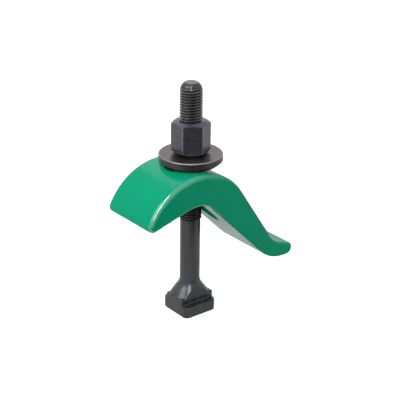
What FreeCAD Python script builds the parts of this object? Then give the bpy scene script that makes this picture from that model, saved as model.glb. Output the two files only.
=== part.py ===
"""Goose-neck clamp: a forged arm held down by a T-slot bolt, a thick washer and a tall hexagon nut.

Frame, in millimetres: the origin is the centre of the bolt head's underside, +Z runs up the bolt,
+X runs along the arm towards its toe, and Y runs across the arm.
Four pieces: t_slot_bolt, clamp_arm, washer and hex_nut.
"""
import FreeCAD, Part
import math
import os

V = FreeCAD.Vector
Z_UP = V(0, 0, 1)

# ---- bolt: M16, for an 18 mm T-slot -------------------------------------------------------------
THREAD_D = 16.0          # major diameter of the M16 thread
SHANK_D = 14.4           # plain shank, the blank that the thread is rolled on
BOLT_L = 172.0           # underside of the head to the end of the thread
THREAD_L = 100.0         # threaded length, from the free end down
END_ROUND_H = 6.4        # height of the spherical end, up to the small flat that faces it off
RUN_OUT_H = 1.0          # cone between the thread and the plain shank
HEAD_W = 28.0            # side of the square head
HEAD_H = 8.8             # thickness of the head
HEAD_CORNER_R = 4.0      # upright corners of the forged square
HEAD_EDGE_C = 1.2        # chamfer round the underside of the head
NECK_W = 18.0            # across the milled flats: the neck runs in the T-slot
NECK_H = 4.8             # full-width neck above the head
FLARE_BASE_D = 28.0      # round foot of the flare on the neck
FLARE_H = 9.4            # cone from the neck to the shank
FLARE_BLEND_R = 8.0      # hollow blend of the cone into the shank

# ---- washer and nut -----------------------------------------------------------------------------
WASHER_D = 45.0
WASHER_HOLE_D = 17.0
WASHER_T = 7.2
WASHER_EDGE_C = 0.7      # chamfer round the top
WASHER_BEVEL_W = 3.0     # wide bevel round the underside, measured inwards
WASHER_BEVEL_H = 2.6     # and upwards
NUT_AF = 24.0            # across the flats
NUT_H = 24.0
NUT_TOP_FLAT_D = 19.6    # flat on top, inside the 30 degree chamfer
NUT_CHAMFER_DEG = 30.0
NUT_SEAT_R = 22.0        # spherical seat on the underside
NUT_SEAT_FLAT_D = 18.4   # where the sphere is faced off, just outside the washer's hole
NUT_TURN_DEG = 28.0      # where the nut was left: its first corner, turned from +X
THREAD_CLEARANCE = 0.05  # radial, between the bolt's crest and the nut's bore

# ---- clamp arm ----------------------------------------------------------------------------------
ARM_W = 50.0
ARM_TOP_Z = 114.0        # top of the crest above the underside of the bolt head
SEAT_GAP = 0.1           # crest to washer
CREST_X = -11.2          # crest, on the nose side of the bolt
NOSE_ARC_R = 46.3        # top of the arm, from the crest down to the nose
BACK_ARC_R = 47.2        # top of the arm, from the crest back to the leg
NOSE_DROP = 31.9         # crest to the lowest line of the nose
NOSE_TIP_R = 4.2
CREST_T = 22.5           # thickness under the crest
ARCH_R = 17.4            # inside bend between nose and leg
NOSE_UNDER_R = 34.0      # wider hollow under the nose
TOE_DROP = 82.6          # crest to the sole of the toe
TOE_X = 77.1             # end of the toe
TOE_END_H = 7.7          # height of the end of the toe
TOE_TOP_DEG = 18.3       # fall of the toe's upper face
TOE_TOP_L = 11.2         # straight part of the toe's upper face
TOE_BEND_R = 17.9        # hollow between leg and toe
TOE_END_R = 5.2          # lower corner of the end
TOE_TIP_R = 2.0          # upper corner of the end
SOLE_L = 3.4             # flat of the sole
HEEL_R = 29.0            # rounded heel between leg and sole
EDGE_R = 2.4             # rounded edges along both sides, under the arm and round the toe
TOP_EDGE_R = 4.0         # the same edges over the top of the arm and round the nose
SLOT_W = 18.0
SLOT_L = 44.0            # end to end
SLOT_MID_X = 1.5         # middle of the slot, on the toe side of the bolt

# ---- worked out from the sizes above ------------------------------------------------------------
THREAD_R = THREAD_D / 2
SHANK_R = SHANK_D / 2
THREAD_START_Z = BOLT_L - THREAD_L
NECK_TOP_Z = HEAD_H + NECK_H
WASHER_Z = ARM_TOP_Z + SEAT_GAP
NUT_Z = WASHER_Z + WASHER_T


def ring_wire(points):
    """Closed wire of straight edges through (radius, height) pairs in the XZ plane."""
    corners = [V(r, 0, z) for r, z in points]
    return Part.makePolygon(corners + corners[:1])


def turned(wire):
    """Solid of revolution of a closed wire about the Z axis."""
    return Part.Face(wire).revolve(V(0, 0, 0), Z_UP, 360)


def rounded_square(side, corner_r, z, height):
    """Upright square bar with rounded corners."""
    bar = Part.makeBox(side, side, height, V(-side / 2, -side / 2, z))
    upright = [e for e in bar.Edges if abs(e.tangentAt(e.FirstParameter).z) > 0.99]
    return bar.makeFillet(corner_r, upright)


# ---- T-slot bolt --------------------------------------------------------------------------------
def bolt_head():
    """Square head and neck in one: chamfered below, milled to the slot width above the head."""
    block = rounded_square(HEAD_W, HEAD_CORNER_R, 0, NECK_TOP_Z)
    sole = [e for e in block.Edges if e.BoundBox.ZMax < 0.01]
    return block.makeChamfer(HEAD_EDGE_C, sole)


def bolt_stem():
    """Flare, plain shank, thread at its full diameter, and the domed end, as one turned profile."""
    foot_r = FLARE_BASE_D / 2
    cone = math.atan2(foot_r - SHANK_R, FLARE_H)
    # the blend is tangent to the cone and to the shank
    blend = FLARE_BLEND_R * math.tan(cone / 2)
    knee_z = NECK_TOP_Z + FLARE_H
    on_cone = V(SHANK_R + blend * math.sin(cone), 0, knee_z - blend * math.cos(cone))
    on_shank = V(SHANK_R, 0, knee_z + blend)
    centre = V(SHANK_R + FLARE_BLEND_R, 0, knee_z + blend)
    half = math.pi + cone / 2
    blend_mid = centre + V(math.cos(half), 0, math.sin(half)) * FLARE_BLEND_R

    # the end is a sphere of the thread's own radius, tangent to the thread
    full_z = BOLT_L - END_ROUND_H
    rise = math.asin(END_ROUND_H / THREAD_R)
    end_r = THREAD_R * math.cos(rise)
    end_mid = V(THREAD_R * math.cos(rise / 2), 0, full_z + THREAD_R * math.sin(rise / 2))
    edges = [
        Part.LineSegment(V(0, 0, 0), V(foot_r, 0, 0)),
        Part.LineSegment(V(foot_r, 0, 0), V(foot_r, 0, NECK_TOP_Z)),
        Part.LineSegment(V(foot_r, 0, NECK_TOP_Z), on_cone),
        Part.Arc(on_cone, blend_mid, on_shank),
        Part.LineSegment(on_shank, V(SHANK_R, 0, THREAD_START_Z - RUN_OUT_H)),
        Part.LineSegment(V(SHANK_R, 0, THREAD_START_Z - RUN_OUT_H), V(THREAD_R, 0, THREAD_START_Z)),
        Part.LineSegment(V(THREAD_R, 0, THREAD_START_Z), V(THREAD_R, 0, full_z)),
        Part.Arc(V(THREAD_R, 0, full_z), end_mid, V(end_r, 0, BOLT_L)),
        Part.LineSegment(V(end_r, 0, BOLT_L), V(0, 0, BOLT_L)),
        Part.LineSegment(V(0, 0, BOLT_L), V(0, 0, 0)),
    ]
    return turned(Part.Wire([e.toShape() for e in edges]))


def t_slot_bolt():
    """The whole bolt; two milling cuts leave the neck's flats and run out in the flare."""
    bolt = bolt_head().fuse(bolt_stem()).removeSplitter()
    for side in (-1, 1):
        near = NECK_W / 2 if side > 0 else -NECK_W / 2 - HEAD_W
        bolt = bolt.cut(Part.makeBox(2 * HEAD_W, HEAD_W, NECK_H + FLARE_H, V(-HEAD_W, near, HEAD_H)))
    return bolt.removeSplitter()


# ---- washer and nut -----------------------------------------------------------------------------
def washer():
    """Thick flat washer: small chamfer round the top, wide bevel round the underside."""
    hole = WASHER_HOLE_D / 2
    rim = WASHER_D / 2
    top = WASHER_Z + WASHER_T
    return turned(ring_wire([
        (hole, WASHER_Z), (rim - WASHER_BEVEL_W, WASHER_Z), (rim, WASHER_Z + WASHER_BEVEL_H),
        (rim, top - WASHER_EDGE_C), (rim - WASHER_EDGE_C, top), (hole, top),
    ]))


def hex_nut():
    """Hexagon bar cut by a turned envelope: 30 degree chamfer on top, spherical seat below."""
    corner_r = NUT_AF / math.sqrt(3)
    bore_r = THREAD_R + THREAD_CLEARANCE
    top = NUT_Z + NUT_H
    turns = [math.radians(NUT_TURN_DEG + 60 * i) for i in range(6)]
    points = [V(corner_r * math.cos(a), corner_r * math.sin(a), NUT_Z) for a in turns]
    bar = Part.Face(Part.makePolygon(points + points[:1])).extrude(V(0, 0, NUT_H))

    outer = corner_r + 1.0
    flat_r = NUT_TOP_FLAT_D / 2
    seat_r = NUT_SEAT_FLAT_D / 2
    sphere_z = NUT_Z + math.sqrt(NUT_SEAT_R ** 2 - seat_r ** 2)

    def on_seat(r):
        return V(r, 0, sphere_z - math.sqrt(NUT_SEAT_R ** 2 - r * r))

    chamfer_z = top - (outer - flat_r) * math.tan(math.radians(NUT_CHAMFER_DEG))
    edges = [
        Part.LineSegment(V(bore_r, 0, NUT_Z), V(seat_r, 0, NUT_Z)),
        Part.Arc(V(seat_r, 0, NUT_Z), on_seat((seat_r + outer) / 2), on_seat(outer)),
        Part.LineSegment(on_seat(outer), V(outer, 0, chamfer_z)),
        Part.LineSegment(V(outer, 0, chamfer_z), V(flat_r, 0, top)),
        Part.LineSegment(V(flat_r, 0, top), V(bore_r, 0, top)),
        Part.LineSegment(V(bore_r, 0, top), V(bore_r, 0, NUT_Z)),
    ]
    envelope = turned(Part.Wire([e.toShape() for e in edges]))
    return bar.common(envelope)


# ---- clamp arm ----------------------------------------------------------------------------------
def cross_tangent(low, low_r, high, high_r):
    """The line that passes over one circle and under another, as its two touching points.

    low is the centre of the circle under the line and high the centre of the one over it.
    """
    span = high - low
    across = math.atan2(span.z, span.x)
    tilt = math.asin((low_r + high_r) / span.Length)
    turn = across + math.copysign(math.pi / 2 - tilt, span.x)
    normal = V(math.cos(turn), 0, math.sin(turn))
    return low + normal * low_r, high - normal * high_r


def arc(centre, start, end):
    """Shorter arc about a centre from one point to another."""
    middle = (start - centre) + (end - centre)
    return Part.Arc(start, centre + middle * ((start - centre).Length / middle.Length), end).toShape()


def line(start, end):
    return Part.LineSegment(start, end).toShape()


def arm_outline():
    """Side view of the arm, in the XZ plane: one closed wire of tangent lines and arcs.

    Also gives the joints of that wire over the top and round the nose.
    """
    crest = V(CREST_X, 0, ARM_TOP_Z)
    nose_c = crest - Z_UP * NOSE_ARC_R
    back_c = crest - Z_UP * BACK_ARC_R

    # nose tip: a circle inside the nose arc, with its lowest point at the nose's drop
    tip_z = ARM_TOP_Z - NOSE_DROP + NOSE_TIP_R
    tip_reach = math.sqrt((NOSE_ARC_R - NOSE_TIP_R) ** 2 - (tip_z - nose_c.z) ** 2)
    tip_c = V(CREST_X - tip_reach, 0, tip_z)
    tip_top = nose_c + (tip_c - nose_c) * (NOSE_ARC_R / (NOSE_ARC_R - NOSE_TIP_R))

    # underside: wide hollow under the nose, then the tight inside bend
    bend = V(CREST_X, 0, ARM_TOP_Z - CREST_T)
    under_c = bend - Z_UP * NOSE_UNDER_R
    arch_c = bend - Z_UP * ARCH_R
    under_end, tip_end = cross_tangent(under_c, NOSE_UNDER_R, tip_c, NOSE_TIP_R)

    # toe: end face, sole, rounded heel
    sole_z = ARM_TOP_Z - TOE_DROP
    end_c = V(TOE_X - TOE_END_R, 0, sole_z + TOE_END_R)
    heel_c = V(TOE_X - TOE_END_R - SOLE_L, 0, sole_z + HEEL_R)
    arch_end, heel_start = cross_tangent(arch_c, ARCH_R, heel_c, HEEL_R)

    # toe: upper corner and upper face, falling towards the end
    fall = math.radians(TOE_TOP_DEG)
    along = V(math.cos(fall), 0, -math.sin(fall))
    out = V(math.sin(fall), 0, math.cos(fall))
    corner = V(TOE_X, 0, sole_z + TOE_END_H)
    set_back = TOE_TIP_R * math.tan((math.pi / 2 - fall) / 2)
    tip_on_top = corner - along * set_back
    tip_on_end = corner - Z_UP * set_back
    toe_tip_c = tip_on_top - out * TOE_TIP_R
    bend_end = corner - along * TOE_TOP_L
    toe_bend_c = bend_end + out * TOE_BEND_R
    back_end, bend_start = cross_tangent(back_c, BACK_ARC_R, toe_bend_c, TOE_BEND_R)

    outline = Part.Wire([
        arc(nose_c, tip_top, crest),
        arc(back_c, crest, back_end),
        line(back_end, bend_start),
        arc(toe_bend_c, bend_start, bend_end),
        line(bend_end, tip_on_top),
        arc(toe_tip_c, tip_on_top, tip_on_end),
        line(tip_on_end, V(TOE_X, 0, end_c.z)),
        arc(end_c, V(TOE_X, 0, end_c.z), V(end_c.x, 0, sole_z)),
        line(V(end_c.x, 0, sole_z), V(heel_c.x, 0, sole_z)),
        arc(heel_c, V(heel_c.x, 0, sole_z), heel_start),
        line(heel_start, arch_end),
        arc(arch_c, arch_end, bend),
        arc(under_c, bend, under_end),
        line(under_end, tip_end),
        arc(tip_c, tip_end, tip_top),
    ])
    return outline, [tip_top, crest, back_end, bend_start]


def arm_slot():
    """Long hole with round ends, taller than the arm."""
    half = SLOT_L / 2 - SLOT_W / 2
    radius = SLOT_W / 2
    height = TOE_DROP + 2 * EDGE_R
    foot = ARM_TOP_Z - TOE_DROP
    slot = Part.makeBox(2 * half, SLOT_W, height, V(SLOT_MID_X - half, -radius, foot))
    for side in (-1, 1):
        slot = slot.fuse(Part.makeCylinder(radius, height, V(SLOT_MID_X + side * half, 0, foot)))
    return slot.removeSplitter()


def clamp_arm():
    """Forged arm: the outline at full width, rounded along both sides, with the slot through it."""
    outline, upper = arm_outline()
    outline.translate(V(0, -ARM_W / 2, 0))
    blank = Part.Face(outline).extrude(V(0, ARM_W, 0))

    def radius_at(vertex):
        on_top = any(math.hypot(vertex.X - p.x, vertex.Z - p.z) < 0.01 for p in upper)
        return TOP_EDGE_R if on_top else EDGE_R

    # the radius changes along the hollow above the toe and round the tip of the nose
    workshop = FreeCAD.newDocument()
    forging = workshop.addObject("Part::Feature", "forging")
    forging.Shape = blank
    rounded = workshop.addObject("Part::Fillet", "rounded")
    rounded.Base = forging
    rounded.Edges = [
        (number, radius_at(edge.firstVertex()), radius_at(edge.lastVertex()))
        for number, edge in enumerate(blank.Edges, 1) if edge.BoundBox.YLength < 0.01
    ]
    workshop.recompute()
    return rounded.Shape.cut(arm_slot())


def main():
    os.makedirs("parts", exist_ok=True)
    pieces = {
        "t_slot_bolt": t_slot_bolt(),
        "clamp_arm": clamp_arm(),
        "washer": washer(),
        "hex_nut": hex_nut(),
    }
    for name, shape in pieces.items():
        if len(shape.Solids) != 1 or not shape.isValid():
            raise RuntimeError(f"{name}: {len(shape.Solids)} solids, valid {shape.isValid()}")
        solid = shape.Solids[0]
        solid.exportStep(f"parts/{name}.step")
        box = solid.BoundBox
        print(f"{name}: {solid.Volume / 1000:.1f} cm3, "
              f"X {box.XMin:.1f} to {box.XMax:.1f}, Y {box.YMin:.1f} to {box.YMax:.1f}, "
              f"Z {box.ZMin:.1f} to {box.ZMax:.1f}")


main()
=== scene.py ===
import math

import bpy
from mathutils import Matrix, Vector


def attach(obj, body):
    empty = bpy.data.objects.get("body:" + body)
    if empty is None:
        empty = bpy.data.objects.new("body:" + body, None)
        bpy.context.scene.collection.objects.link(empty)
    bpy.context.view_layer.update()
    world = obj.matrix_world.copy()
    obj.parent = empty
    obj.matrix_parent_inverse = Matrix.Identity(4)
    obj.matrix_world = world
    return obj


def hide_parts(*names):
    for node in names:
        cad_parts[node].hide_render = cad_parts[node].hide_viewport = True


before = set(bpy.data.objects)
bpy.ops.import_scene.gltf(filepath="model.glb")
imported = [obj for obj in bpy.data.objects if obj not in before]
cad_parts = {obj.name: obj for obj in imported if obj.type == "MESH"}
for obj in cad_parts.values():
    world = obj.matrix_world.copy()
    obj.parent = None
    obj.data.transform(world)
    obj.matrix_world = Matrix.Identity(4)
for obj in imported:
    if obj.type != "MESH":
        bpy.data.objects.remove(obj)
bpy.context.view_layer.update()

MM = 0.001

# ---- T-slot bolt -------------------------------------------------------------------------------
# A steel bolt, forged to a square head with a flare above it, then milled on two sides of the
# neck to run in an 18 mm slot. The top 100 mm carry a rolled M16 thread. Blackened all over.
THREAD_R = 8.0 * MM
THREAD_ROOT_R = 6.8 * MM
THREAD_PITCH = 2.0 * MM
THREAD_CREST = 0.25 * MM
THREAD_FLANK = math.radians(30)
THREAD_START = 72.0 * MM
SHANK_R = 7.2 * MM
BOLT_L = 172.0 * MM
END_ROUND_H = 6.4 * MM
HEAD_W = 28.0 * MM
HEAD_H = 8.8 * MM
HEAD_CORNER_R = 4.0 * MM
HEAD_EDGE_C = 1.2 * MM
NECK_W = 18.0 * MM
NECK_TOP = 13.6 * MM
FLARE_FOOT_R = 14.0 * MM
FLARE_H = 9.4 * MM
FLARE_TOP = 34.0 * MM
SHANK_SUNK = 2.0 * MM        # how far the shank runs down into the flare
THREAD_OVERLAP = 0.4 * MM    # and up into the thread
RUN_IN_DEPTH = 0.1 * MM      # the thread's first turn starts this far under the shank's skin
RUN_IN_H = 1.3 * MM          # and rises out of it over this height
ENVELOPE_CLEAR = 0.4 * MM    # the envelope clears the crests by this, and closes in over the same height
FORGING_VOXEL = 0.32 * MM
TURNED_STEPS = 64
THREAD_STEPS = 48
END_STEPS = 10
SMOOTH_BELOW = math.radians(32)
MERGE = 0.001 * MM           # points closer than this are one


def deselect():
    """Nothing selected, in object mode."""
    if bpy.context.object and bpy.context.object.mode != "OBJECT":
        bpy.ops.object.mode_set(mode="OBJECT")
    bpy.ops.object.select_all(action="DESELECT")


def select(obj):
    deselect()
    obj.select_set(True)
    bpy.context.view_layer.objects.active = obj


def draw(name, points):
    """A chain of edges through (x, y, z) points, drawn by extruding one vertex."""
    deselect()
    bpy.ops.mesh.primitive_plane_add(size=MM)
    obj = bpy.context.object
    obj.name = name
    bpy.ops.object.mode_set(mode="EDIT")
    bpy.ops.mesh.select_mode(type="VERT")
    bpy.ops.mesh.merge(type="CENTER")
    bpy.ops.transform.translate(value=points[0])
    for here, there in zip(points, points[1:]):
        step = Vector(there) - Vector(here)
        bpy.ops.mesh.extrude_region_move(TRANSFORM_OT_translate={"value": step})
    bpy.ops.object.mode_set(mode="OBJECT")
    return obj


def close_up(obj):
    """Merges doubles and turns every face outwards."""
    select(obj)
    bpy.ops.object.mode_set(mode="EDIT")
    bpy.ops.mesh.select_all(action="SELECT")
    bpy.ops.mesh.remove_doubles(threshold=MERGE)
    bpy.ops.mesh.normals_make_consistent(inside=False)
    bpy.ops.object.mode_set(mode="OBJECT")


def turned(name, outline):
    """A closed turned solid from (radius, height) points that start and end on the axis."""
    obj = draw(name, [(r, 0.0, z) for r, z in outline])
    select(obj)
    bpy.ops.object.mode_set(mode="EDIT")
    bpy.ops.mesh.select_all(action="SELECT")
    bpy.ops.mesh.spin(steps=TURNED_STEPS, angle=2 * math.pi, center=(0, 0, 0), axis=(0, 0, 1))
    bpy.ops.object.mode_set(mode="OBJECT")
    close_up(obj)
    return obj


def add_modifier(obj, kind, **settings):
    """Adds a modifier with these settings and applies it."""
    select(obj)
    modifier = obj.modifiers.new(kind.title(), kind)
    for key, value in settings.items():
        setattr(modifier, key, value)
    bpy.ops.object.modifier_apply(modifier=modifier.name)


def combine(obj, tool, operation):
    """Boolean of obj with a tool object, which is used up."""
    add_modifier(obj, "BOOLEAN", object=tool, operation=operation, solver="EXACT")
    bpy.data.objects.remove(tool)


def block(name, low, high):
    """Box between two corners, its place in the mesh."""
    deselect()
    bpy.ops.mesh.primitive_cube_add(size=1.0)
    obj = bpy.context.object
    obj.name = name
    low, high = Vector(low), Vector(high)
    bpy.ops.object.mode_set(mode="EDIT")
    bpy.ops.transform.resize(value=high - low)
    bpy.ops.transform.translate(value=(low + high) / 2)
    bpy.ops.object.mode_set(mode="OBJECT")
    return obj


def bevel_edges(obj, wanted, offset, segments):
    """Bevels the edges for which wanted(first, second) is true of their two ends."""
    select(obj)
    bpy.ops.object.mode_set(mode="EDIT")
    bpy.ops.mesh.select_all(action="DESELECT")
    bpy.ops.mesh.select_mode(type="EDGE")
    bpy.ops.object.mode_set(mode="OBJECT")
    corners = obj.data.vertices
    for edge in obj.data.edges:
        first, second = (corners[i].co for i in edge.vertices)
        edge.select = wanted(first, second)
    bpy.ops.object.mode_set(mode="EDIT")
    bpy.ops.mesh.bevel(offset=offset, segments=segments)
    bpy.ops.object.mode_set(mode="OBJECT")


def is_upright(first, second):
    return abs(first.z - second.z) > MM


def is_underneath(first, second):
    return first.z < MERGE and second.z < MERGE


# head and neck as one block, rounded at the upright corners and chamfered underneath
head = block("t_slot_bolt_forging", (-HEAD_W / 2, -HEAD_W / 2, 0), (HEAD_W / 2, HEAD_W / 2, NECK_TOP))
bevel_edges(head, is_upright, HEAD_CORNER_R, segments=6)
bevel_edges(head, is_underneath, HEAD_EDGE_C, segments=2)

# flare and the foot of the shank, turned; the hollow blends the one into the other
knee = NECK_TOP + FLARE_H
hollow = [(1.6 * MM, -2.4 * MM), (0.62 * MM, -0.6 * MM), (0.18 * MM, 1.1 * MM), (0, 2.6 * MM)]
flare = turned("flare", [
    (0, MM), (FLARE_FOOT_R, MM), (FLARE_FOOT_R, NECK_TOP),
    *((SHANK_R + out, knee + up) for out, up in hollow),
    (SHANK_R, FLARE_TOP), (0, FLARE_TOP),
])
combine(head, flare, "UNION")

# milled flats, which run out in the flare
for side in (-1, 1):
    inner, outer = sorted((side * NECK_W / 2, side * HEAD_W))
    cutter = block("slot_mill", (-HEAD_W, inner, HEAD_H), (HEAD_W, outer, knee + FLARE_H))
    combine(head, cutter, "DIFFERENCE")

# the forging's edges are soft: remeshed finely and smoothed
add_modifier(head, "REMESH", mode="VOXEL", voxel_size=FORGING_VOXEL)
add_modifier(head, "SMOOTH", factor=0.5, iterations=4)

# plain shank above the flare
shank_foot = FLARE_TOP - SHANK_SUNK
shank_top = THREAD_START + THREAD_OVERLAP
shank = turned("shank", [(0, shank_foot), (SHANK_R, shank_foot), (SHANK_R, shank_top), (0, shank_top)])

# thread: one pitch of the outline wound up the bolt, then trimmed by a turned envelope
flank = (THREAD_R - THREAD_ROOT_R) * math.tan(THREAD_FLANK)
root = THREAD_PITCH - THREAD_CREST - 2 * flank
wind_from = THREAD_START - 2 * THREAD_PITCH
turns = round((BOLT_L - wind_from) / THREAD_PITCH) + 2
thread = draw("thread", [
    (THREAD_ROOT_R, 0, wind_from), (THREAD_ROOT_R, 0, wind_from + root),
    (THREAD_R, 0, wind_from + root + flank), (THREAD_R, 0, wind_from + root + flank + THREAD_CREST),
    (THREAD_ROOT_R, 0, wind_from + THREAD_PITCH),
])
add_modifier(thread, "SCREW", axis="Z", angle=2 * math.pi, screw_offset=THREAD_PITCH, iterations=turns,
             steps=THREAD_STEPS, render_steps=THREAD_STEPS, use_merge_vertices=True, merge_threshold=MERGE)
select(thread)
bpy.ops.object.mode_set(mode="EDIT")
bpy.ops.mesh.select_all(action="SELECT")
bpy.ops.mesh.remove_doubles(threshold=MERGE)
bpy.ops.mesh.fill_holes(sides=0)
bpy.ops.object.mode_set(mode="OBJECT")
close_up(thread)

full = BOLT_L - END_ROUND_H
clear = THREAD_R + ENVELOPE_CLEAR
angles = [math.asin(END_ROUND_H / THREAD_R) * i / END_STEPS for i in range(END_STEPS + 1)]
envelope = turned("thread_envelope", [
    (0, THREAD_START), (SHANK_R - RUN_IN_DEPTH, THREAD_START), (clear, THREAD_START + RUN_IN_H),
    (clear, full - ENVELOPE_CLEAR),
    *((THREAD_R * math.cos(angle), full + THREAD_R * math.sin(angle)) for angle in angles),
    (0, BOLT_L),
])
combine(thread, envelope, "INTERSECT")

deselect()
for part in (shank, thread, head):
    part.select_set(True)
bpy.context.view_layer.objects.active = head
bpy.ops.object.join()
bolt = head
bolt.name = "t_slot_bolt_finished"
select(bolt)
bpy.ops.object.shade_smooth_by_angle(angle=SMOOTH_BELOW)


class Wire:
    """One output in a material's node tree. Arithmetic on it adds Math nodes."""

    def __init__(self, tree, socket):
        self.tree = tree
        self.socket = socket

    def math(self, operation, first, second=None):
        node = self.tree.nodes.new("ShaderNodeMath")
        node.operation = operation
        for socket, value in zip(node.inputs, (first, second)):
            plug(self.tree, socket, value)
        return Wire(self.tree, node.outputs[0])

    def __add__(self, other):
        return self.math("ADD", self, other)

    def __radd__(self, other):
        return self.math("ADD", other, self)

    def __sub__(self, other):
        return self.math("SUBTRACT", self, other)

    def __rsub__(self, other):
        return self.math("SUBTRACT", other, self)

    def __mul__(self, other):
        return self.math("MULTIPLY", self, other)

    def __rmul__(self, other):
        return self.math("MULTIPLY", other, self)


def plug(tree, socket, value):
    """Links a Wire to a socket, or sets a constant on it."""
    if isinstance(value, Wire):
        tree.links.new(value.socket, socket)
    elif value is not None:
        socket.default_value = value


class Finish:
    """A material being built: nodes are added by kind, with their settings and sockets."""

    def __init__(self, name):
        self.material = bpy.data.materials.new(name)
        self.material.use_nodes = True
        self.tree = self.material.node_tree
        self.surface = self.tree.nodes["Principled BSDF"]

    def node(self, kind, output=0, settings=(), **sockets):
        node = self.tree.nodes.new(kind)
        for key, value in dict(settings).items():
            setattr(node, key, value)
        for key, value in sockets.items():
            plug(self.tree, node.inputs[key.replace("_", " ")], value)
        return Wire(self.tree, node.outputs[output])

    def along(self, axes):
        """How far along each of these axes a point of the piece lies, in metres."""
        place = self.node("ShaderNodeTexCoord", output="Object")
        return [self.node("ShaderNodeSeparateXYZ", output=axis, Vector=place) for axis in axes]

    def noise(self, scale, detail, stretch=(1, 1, 1)):
        """Noise in object coordinates; scale in features per metre."""
        place = self.node("ShaderNodeTexCoord", output="Object")
        squeezed = self.node("ShaderNodeMapping", Vector=place, Scale=stretch)
        return self.node("ShaderNodeTexNoise", Vector=squeezed, Scale=scale, Detail=detail)

    def ramp(self, value, low, high):
        """value stretched so that low to high becomes 0 to 1."""
        return self.node("ShaderNodeMapRange", Value=value, From_Min=low, From_Max=high)

    def mix(self, factor, first, second):
        """Colour between two colours."""
        node = self.tree.nodes.new("ShaderNodeMix")
        node.data_type = "RGBA"
        plug(self.tree, node.inputs["Factor"], factor)
        plug(self.tree, node.inputs[6], first)
        plug(self.tree, node.inputs[7], second)
        return Wire(self.tree, node.outputs[2])

    def bump(self, height, distance, strength):
        return self.node("ShaderNodeBump", Height=height, Distance=distance, Strength=strength)

    def set(self, **sockets):
        for key, value in sockets.items():
            plug(self.tree, self.surface.inputs[key.replace("_", " ")], value)


def paint_like(code):
    """Linear RGBA from a hexadecimal sRGB colour."""
    parts = [int(code[i:i + 2], 16) / 255 for i in (0, 2, 4)]
    return (*(p / 12.92 if p <= 0.04045 else ((p + 0.055) / 1.055) ** 2.4 for p in parts), 1.0)


# light grey painted into the colour as a highlight on edges and crests
HIGHLIGHT_GREY = "8c8c92"


def blackened(finish, dark, light, roughness, stretch=(1, 1, 1), painted_highlight=0.0):
    """Black-oxide steel: uneven dark skin with fine pitting, painted a light highlight grey where the
    highlight mask (the last argument) is 1.
    """
    patches = finish.ramp(finish.noise(scale=240.0, detail=4.0, stretch=stretch), low=0.3, high=0.7)
    grain = finish.noise(scale=1600.0, detail=2.0)
    skin = finish.mix(patches, paint_like(dark), paint_like(light))
    finish.set(
        Base_Color=finish.mix(painted_highlight, skin, paint_like(HIGHLIGHT_GREY)),
        Metallic=0.65,
        Roughness=roughness + 0.08 * patches - 0.04 * grain,
        Normal=finish.bump(grain, distance=0.04 * MM, strength=0.35),
    )
    return finish.material


def dress(obj, material):
    """Puts one material on a piece, in place of any it has."""
    obj.data.materials.clear()
    obj.data.materials.append(material)


# the skin's patches are drawn out along the bolt
DRAWN_OUT = (1, 1, 0.12)

# painted highlight: the thread's upper turns are painted a lighter grey at their tips, fading in upwards
CREST_HIGHLIGHT_FROM = THREAD_START + 20 * MM
CREST_HIGHLIGHT_FULL = THREAD_START + 45 * MM
bolt_steel = Finish("black oxide bolt")
x, y, height = bolt_steel.along("XYZ")
crest_highlight = bolt_steel.ramp(x * x + y * y, (THREAD_R - 0.6 * MM) ** 2, (THREAD_R - 0.1 * MM) ** 2)
crest_highlight = crest_highlight * bolt_steel.ramp(height, CREST_HIGHLIGHT_FROM, CREST_HIGHLIGHT_FULL)
dress(bolt, blackened(bolt_steel, "3c3c40", "4c4c50", 0.26, DRAWN_OUT, 0.6 * crest_highlight))
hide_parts("t_slot_bolt")
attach(bolt, "bolt")

# ---- clamp arm ---------------------------------------------------------------------------------
# A forged steel arm, bent like a goose's neck, with a long slot for the bolt. Enamelled green: the
# paint is smooth with a slight orange peel; a glossier coat strip along the rounded edges paints the
# bright edge lines, and more coat where the paint is seen edge-on paints a sheen.
ARM_W = 50.0 * MM
ARM_EDGE_R = 3.0 * MM
BAND_INNER = ARM_W / 2 - 0.85 * ARM_EDGE_R
BAND_OUTER = ARM_W / 2 - 0.15 * ARM_EDGE_R
BAND_FADE = 0.4 * MM
BAND_END = 15 * MM
BAND_FULL = -25 * MM
enamel = Finish("green enamel")
waves = enamel.noise(scale=45.0, detail=2.0)
peel = enamel.noise(scale=900.0, detail=2.0)

# painted highlight: a glossier coat strip along both rounded edges draws the bright edge lines; it is full
# at the nose and ends before the leg
x, y = enamel.along("XY")
highlight_band = enamel.ramp(y * y, BAND_INNER ** 2, (BAND_INNER + BAND_FADE) ** 2)
highlight_band = highlight_band - enamel.ramp(y * y, BAND_OUTER ** 2, (ARM_W / 2) ** 2)
highlight_band = highlight_band * enamel.ramp(x, BAND_END, BAND_FULL)

# painted sheen: the coat is raised where the paint is seen edge-on
edge_on = enamel.node("ShaderNodeLayerWeight", output="Facing", Blend=0.5)
enamel.set(
    Base_Color=enamel.mix(enamel.ramp(waves, 0.3, 0.7), paint_like("07a278"), paint_like("0aa77c")),
    Roughness=0.16 + 0.06 * waves,
    Specular_IOR_Level=0.06,
    Coat_Weight=0.25 * enamel.ramp(edge_on, 0.70, 0.95) + highlight_band,
    Coat_Roughness=0.08,
    Coat_IOR=1.9,
    Normal=enamel.bump(peel, distance=0.02 * MM, strength=0.4),
)
dress(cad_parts["clamp_arm"], enamel.material)

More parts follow.
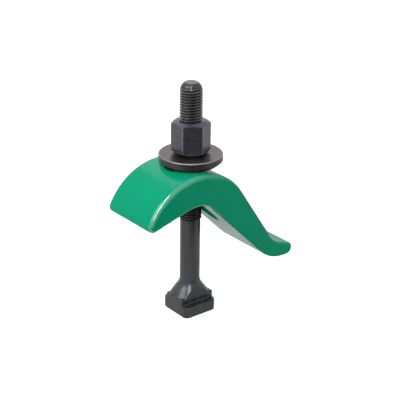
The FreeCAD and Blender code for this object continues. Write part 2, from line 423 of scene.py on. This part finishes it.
# ---- washer ------------------------------------------------------------------------------------
# A thick turned washer, bevelled wide below and narrow on top. Blackened, a little browner than
# the nut, with a painted highlight in light grey round its top edge; it sits between the nut's round seat
# and the arm.
WASHER_R = 22.5 * MM
WASHER_TOP = 121.3 * MM
WASHER_EDGE_C = 0.7 * MM
HIGHLIGHT_FADE = 0.1 * MM
washer_steel = Finish("black oxide washer")
x, y, height = washer_steel.along("XYZ")
chamfer_r = WASHER_R - WASHER_EDGE_C
chamfer_z = WASHER_TOP - WASHER_EDGE_C
# painted highlight: the top chamfer is painted light grey
rim_highlight = washer_steel.ramp(x * x + y * y, (chamfer_r - HIGHLIGHT_FADE) ** 2, chamfer_r ** 2)
rim_highlight = rim_highlight * washer_steel.ramp(height, chamfer_z, chamfer_z + HIGHLIGHT_FADE)
dress(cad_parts["washer"], blackened(washer_steel, "362f30", "494042", 0.30, painted_highlight=0.85 * rim_highlight))

# ---- nut ---------------------------------------------------------------------------------------
# A tall hexagon nut, cut from bar, chamfered on top and spherical below. Blackened, with a
# painted highlight in light grey along each upright corner.
NUT_AF = 24.0 * MM
NUT_CORNER_R = NUT_AF / 2 / math.cos(math.radians(30))
nut_steel = Finish("black oxide nut")
x, y = nut_steel.along("XY")
# painted highlight: the upright corners are painted light grey
corners = nut_steel.ramp(x * x + y * y, (NUT_CORNER_R - 0.4 * MM) ** 2, (NUT_CORNER_R - 0.1 * MM) ** 2)
dress(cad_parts["hex_nut"], blackened(nut_steel, "4a494f", "54535a", 0.27, painted_highlight=0.8 * corners))

# ---- floor, light and camera -------------------------------------------------------------------
# Not part of the object: a white table with a card on it for the clamp's gloss to show, a big soft
# lamp on the left, a narrow one near the camera that draws the bright edges, and one behind.
FLOOR_SIZE = 6.0
CARD_NEAR = (-0.55, -0.75, 0.0)
CARD_FAR = (0.10, -0.14, 0.5 * MM)
deselect()
bpy.ops.mesh.primitive_plane_add(size=FLOOR_SIZE)
floor = bpy.context.object
floor.name = "floor"

# the table is white to look at, less bright in gloss, and grey where it throws light back up
table = Finish("white table")
in_view = table.node("ShaderNodeLightPath", output="Is Camera Ray")
mirrored = table.node("ShaderNodeLightPath", output="Is Glossy Ray")
mirrored = mirrored + table.node("ShaderNodeLightPath", output="Is Transmission Ray")
table.set(
    Base_Color=table.mix(in_view + mirrored, (0.4, 0.4, 0.4, 1), (0.9, 0.9, 0.9, 1)),
    Roughness=0.9,
    Specular_IOR_Level=0.0,
    Emission_Color=0.62 * in_view + 0.12 * mirrored,
    Emission_Strength=1.0,
)
dress(floor, table.material)

# the card is white to look at and black to everything else
card = block("black card", CARD_NEAR, CARD_FAR)
black = Finish("black paper")
black.set(
    Base_Color=(0.02, 0.02, 0.02, 1),
    Roughness=0.9,
    Specular_IOR_Level=0.0,
    Emission_Color=1.0 * black.node("ShaderNodeLightPath", output="Is Camera Ray"),
    Emission_Strength=1.0,
)
dress(card, black.material)


LAMP_AIM = Vector((0, 0, 0.09))


def lamp(name, place, width, height, watts):
    """A rectangular area lamp aimed at the middle of the clamp."""
    deselect()
    bpy.ops.object.light_add(type="AREA", location=place)
    made = bpy.context.object
    made.name = name
    made.data.shape = "RECTANGLE"
    made.data.size = width
    made.data.size_y = height
    made.data.energy = watts
    made.rotation_euler = (LAMP_AIM - Vector(place)).to_track_quat("-Z", "Y").to_euler()


lamp("soft lamp", (-1.3, 0.1, 1.2), width=0.9, height=0.9, watts=11.5)
lamp("edge lamp", (-0.62, -0.73, 0.89), width=0.12, height=1.0, watts=8.0)
lamp("back lamp", (0.6, 1.0, 1.3), width=1.2, height=1.2, watts=8.0)

# the room looks white to the camera and in gloss, and lights the clamp less than that
DIFFUSE_SKY = 0.25
world = bpy.data.worlds.new("white studio")
bpy.context.scene.world = world
world.use_nodes = True
sky = world.node_tree
backdrop = sky.nodes["Background"]
backdrop.inputs["Color"].default_value = (1, 1, 1, 1)
rays = sky.nodes.new("ShaderNodeLightPath")
seen = Wire(sky, rays.outputs["Is Camera Ray"]) + Wire(sky, rays.outputs["Is Glossy Ray"])
seen = seen + Wire(sky, rays.outputs["Is Transmission Ray"])
plug(sky, backdrop.inputs["Strength"], DIFFUSE_SKY + (1.0 - DIFFUSE_SKY) * seen)

CAMERA_TURN = math.radians(-38.442)
CAMERA_RISE = math.radians(23.417)
CAMERA_ROLL = math.radians(0.715)
CAMERA_REACH = 0.80226
CAMERA_TARGET = Vector((0.00533, -0.00423, 0.08556))
CAMERA_LENS = 102.75
deselect()
bpy.ops.object.camera_add()
camera = bpy.context.object
camera.data.lens = CAMERA_LENS
camera.data.sensor_width = 36.0
turn = Matrix.Rotation(CAMERA_TURN, 4, "Z")
tilt = Matrix.Rotation(math.pi / 2 - CAMERA_RISE, 4, "X")
roll = Matrix.Rotation(CAMERA_ROLL, 4, "Z")
aim = turn @ tilt @ roll
camera.matrix_world = Matrix.Translation(CAMERA_TARGET + aim @ Vector((0, 0, CAMERA_REACH))) @ aim
bpy.context.scene.camera = camera
bpy.context.scene.view_settings.view_transform = "Standard"
